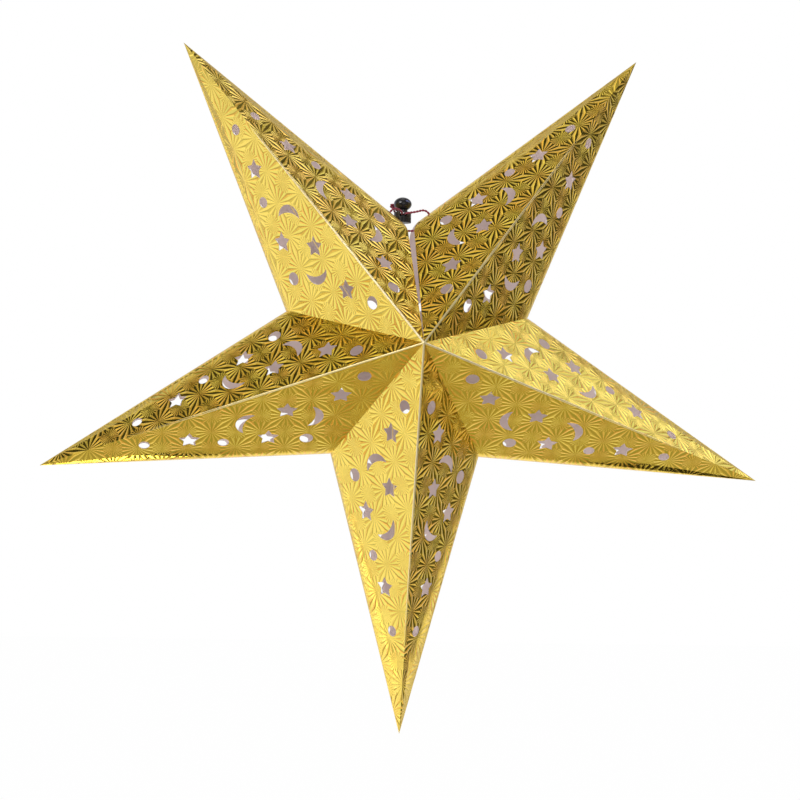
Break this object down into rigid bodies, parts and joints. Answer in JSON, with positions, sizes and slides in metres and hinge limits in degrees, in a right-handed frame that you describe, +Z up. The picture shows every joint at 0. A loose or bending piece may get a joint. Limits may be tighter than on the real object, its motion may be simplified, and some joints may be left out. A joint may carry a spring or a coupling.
{
  "type": "folding star lantern",
  "caption": "Five-pointed hanging star lantern folded from gold foil card with punched star, moon and dot holes, closed by a drawcord with a sliding cord lock.",
  "frame": {"origin": "hanging point, in the notch between the two upper points, where the side edges of the two cards meet on the star's middle plane", "axes": "+Z up, away from the star's centre; the star lies in the XZ plane with its front towards -Y; +X to the right seen from the front"},
  "size_m": [0.597, 0.23, 0.5659],
  "materials": {
    "foil_card": "gold metallised film embossed with starbursts outside, uncoated grey-mauve paper inside",
    "cord": "twisted maroon cord",
    "lock_barrel": "moulded black plastic, ribbed",
    "lock_button": "moulded black plastic, polished",
    "spring_wire": "drawn steel wire"
  },
  "bodies": {
    "star": {"point_upper_left": "foil_card", "point_lower_left": "foil_card", "point_bottom": "foil_card", "point_lower_right": "foil_card", "point_upper_right": "foil_card", "tie_cord": "cord", "cord_lock_barrel": "lock_barrel", "cord_lock_spring": "spring_wire"},
    "button": {"cord_lock_button": "lock_button"}
  },
  "joints": [
    {"name": "button_press", "type": "slide", "parent": "star", "child": "button", "axis": [0, 0, -1], "range_m": [0, 0.0012], "stiffness_N_per_m": 1500, "springref_m": -0.002, "deforming": ["cord_lock_spring"]}
  ]
}
